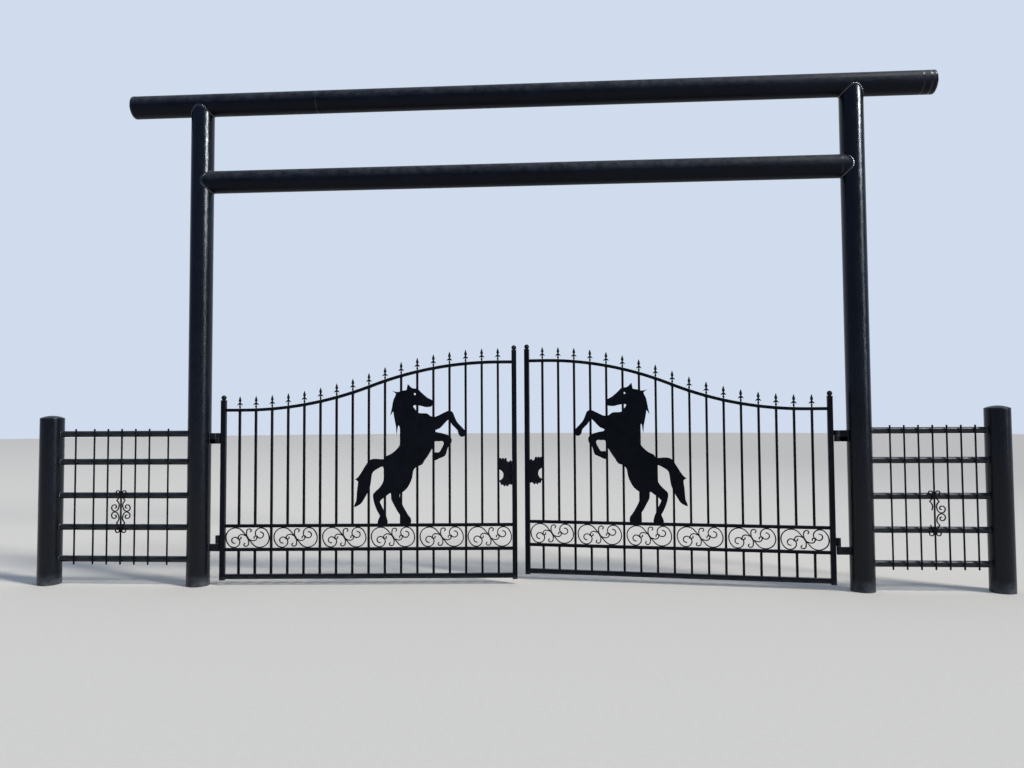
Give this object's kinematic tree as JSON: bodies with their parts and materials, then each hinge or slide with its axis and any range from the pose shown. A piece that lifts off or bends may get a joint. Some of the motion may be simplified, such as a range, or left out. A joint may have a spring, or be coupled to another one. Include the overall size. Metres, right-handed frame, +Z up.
{
  "type": "ranch gateway with a pair of leaves",
  "caption": "Steel pipe gateway: tall posts under a header and cross beam, ornamental swing leaves, and a pipe-rail wing each side.",
  "frame": {"origin": "centre of the left tall post's foot, on the ground", "axes": "+X along the gateway towards the right post, +Y away from the viewer, +Z up"},
  "size_m": [9.2871, 0.5413, 4.8593],
  "materials": {
    "main_pipe": "gloss",
    "end_post_pipe": "gloss",
    "end_plate": "gloss",
    "post_cap": "satin",
    "rail_pipe": "gloss",
    "wing_bar": "satin",
    "scroll_bar": "satin",
    "hinge_steel": "satin",
    "leaf_tube": "satin",
    "leaf_bar": "satin",
    "flat_plate": "satin",
    "casting": "satin"
  },
  "bodies": {
    "gateway": {"left_post": "main_pipe", "right_post": "main_pipe", "header_beam": "main_pipe", "header_end_caps": "end_plate", "cross_beam": "main_pipe", "left_end_post": "end_post_pipe", "right_end_post": "end_post_pipe", "left_end_post_cap": "post_cap", "right_end_post_cap": "post_cap", "left_wing_rails": "rail_pipe", "right_wing_rails": "rail_pipe", "left_wing_pickets": "wing_bar", "right_wing_pickets": "wing_bar", "left_wing_scroll": "scroll_bar", "right_wing_scroll": "scroll_bar", "left_hinge_brackets": "hinge_steel", "right_hinge_brackets": "hinge_steel"},
    "left_leaf": {"left_hinge_stile": "leaf_tube", "left_meeting_stile": "leaf_tube", "left_stile_caps": "casting", "left_top_rail": "leaf_bar", "left_band_rails": "leaf_bar", "left_bottom_rail": "leaf_tube", "left_pickets": "leaf_bar", "left_lower_pickets": "leaf_bar", "left_finials": "casting", "left_scrolls": "scroll_bar", "left_horse": "flat_plate", "left_lock_plate": "casting", "left_hinge_barrels": "hinge_steel"},
    "right_leaf": {"right_hinge_stile": "leaf_tube", "right_meeting_stile": "leaf_tube", "right_stile_caps": "casting", "right_top_rail": "leaf_bar", "right_band_rails": "leaf_bar", "right_bottom_rail": "leaf_tube", "right_pickets": "leaf_bar", "right_lower_pickets": "leaf_bar", "right_finials": "casting", "right_scrolls": "scroll_bar", "right_horse": "flat_plate", "right_lock_plate": "casting", "right_hinge_barrels": "hinge_steel"}
  },
  "joints": [
    {"name": "left_leaf_swing", "type": "hinge", "parent": "gateway", "child": "left_leaf", "pos_m": [0.19155, 0, 0.33], "axis": [0, 0, 1], "range_deg": [-93.4, 86.6]},
    {"name": "right_leaf_swing", "type": "hinge", "parent": "gateway", "child": "right_leaf", "pos_m": [6.10545, 0, 0.33], "axis": [0, 0, -1], "range_deg": [-97.9, 82.1]}
  ]
}
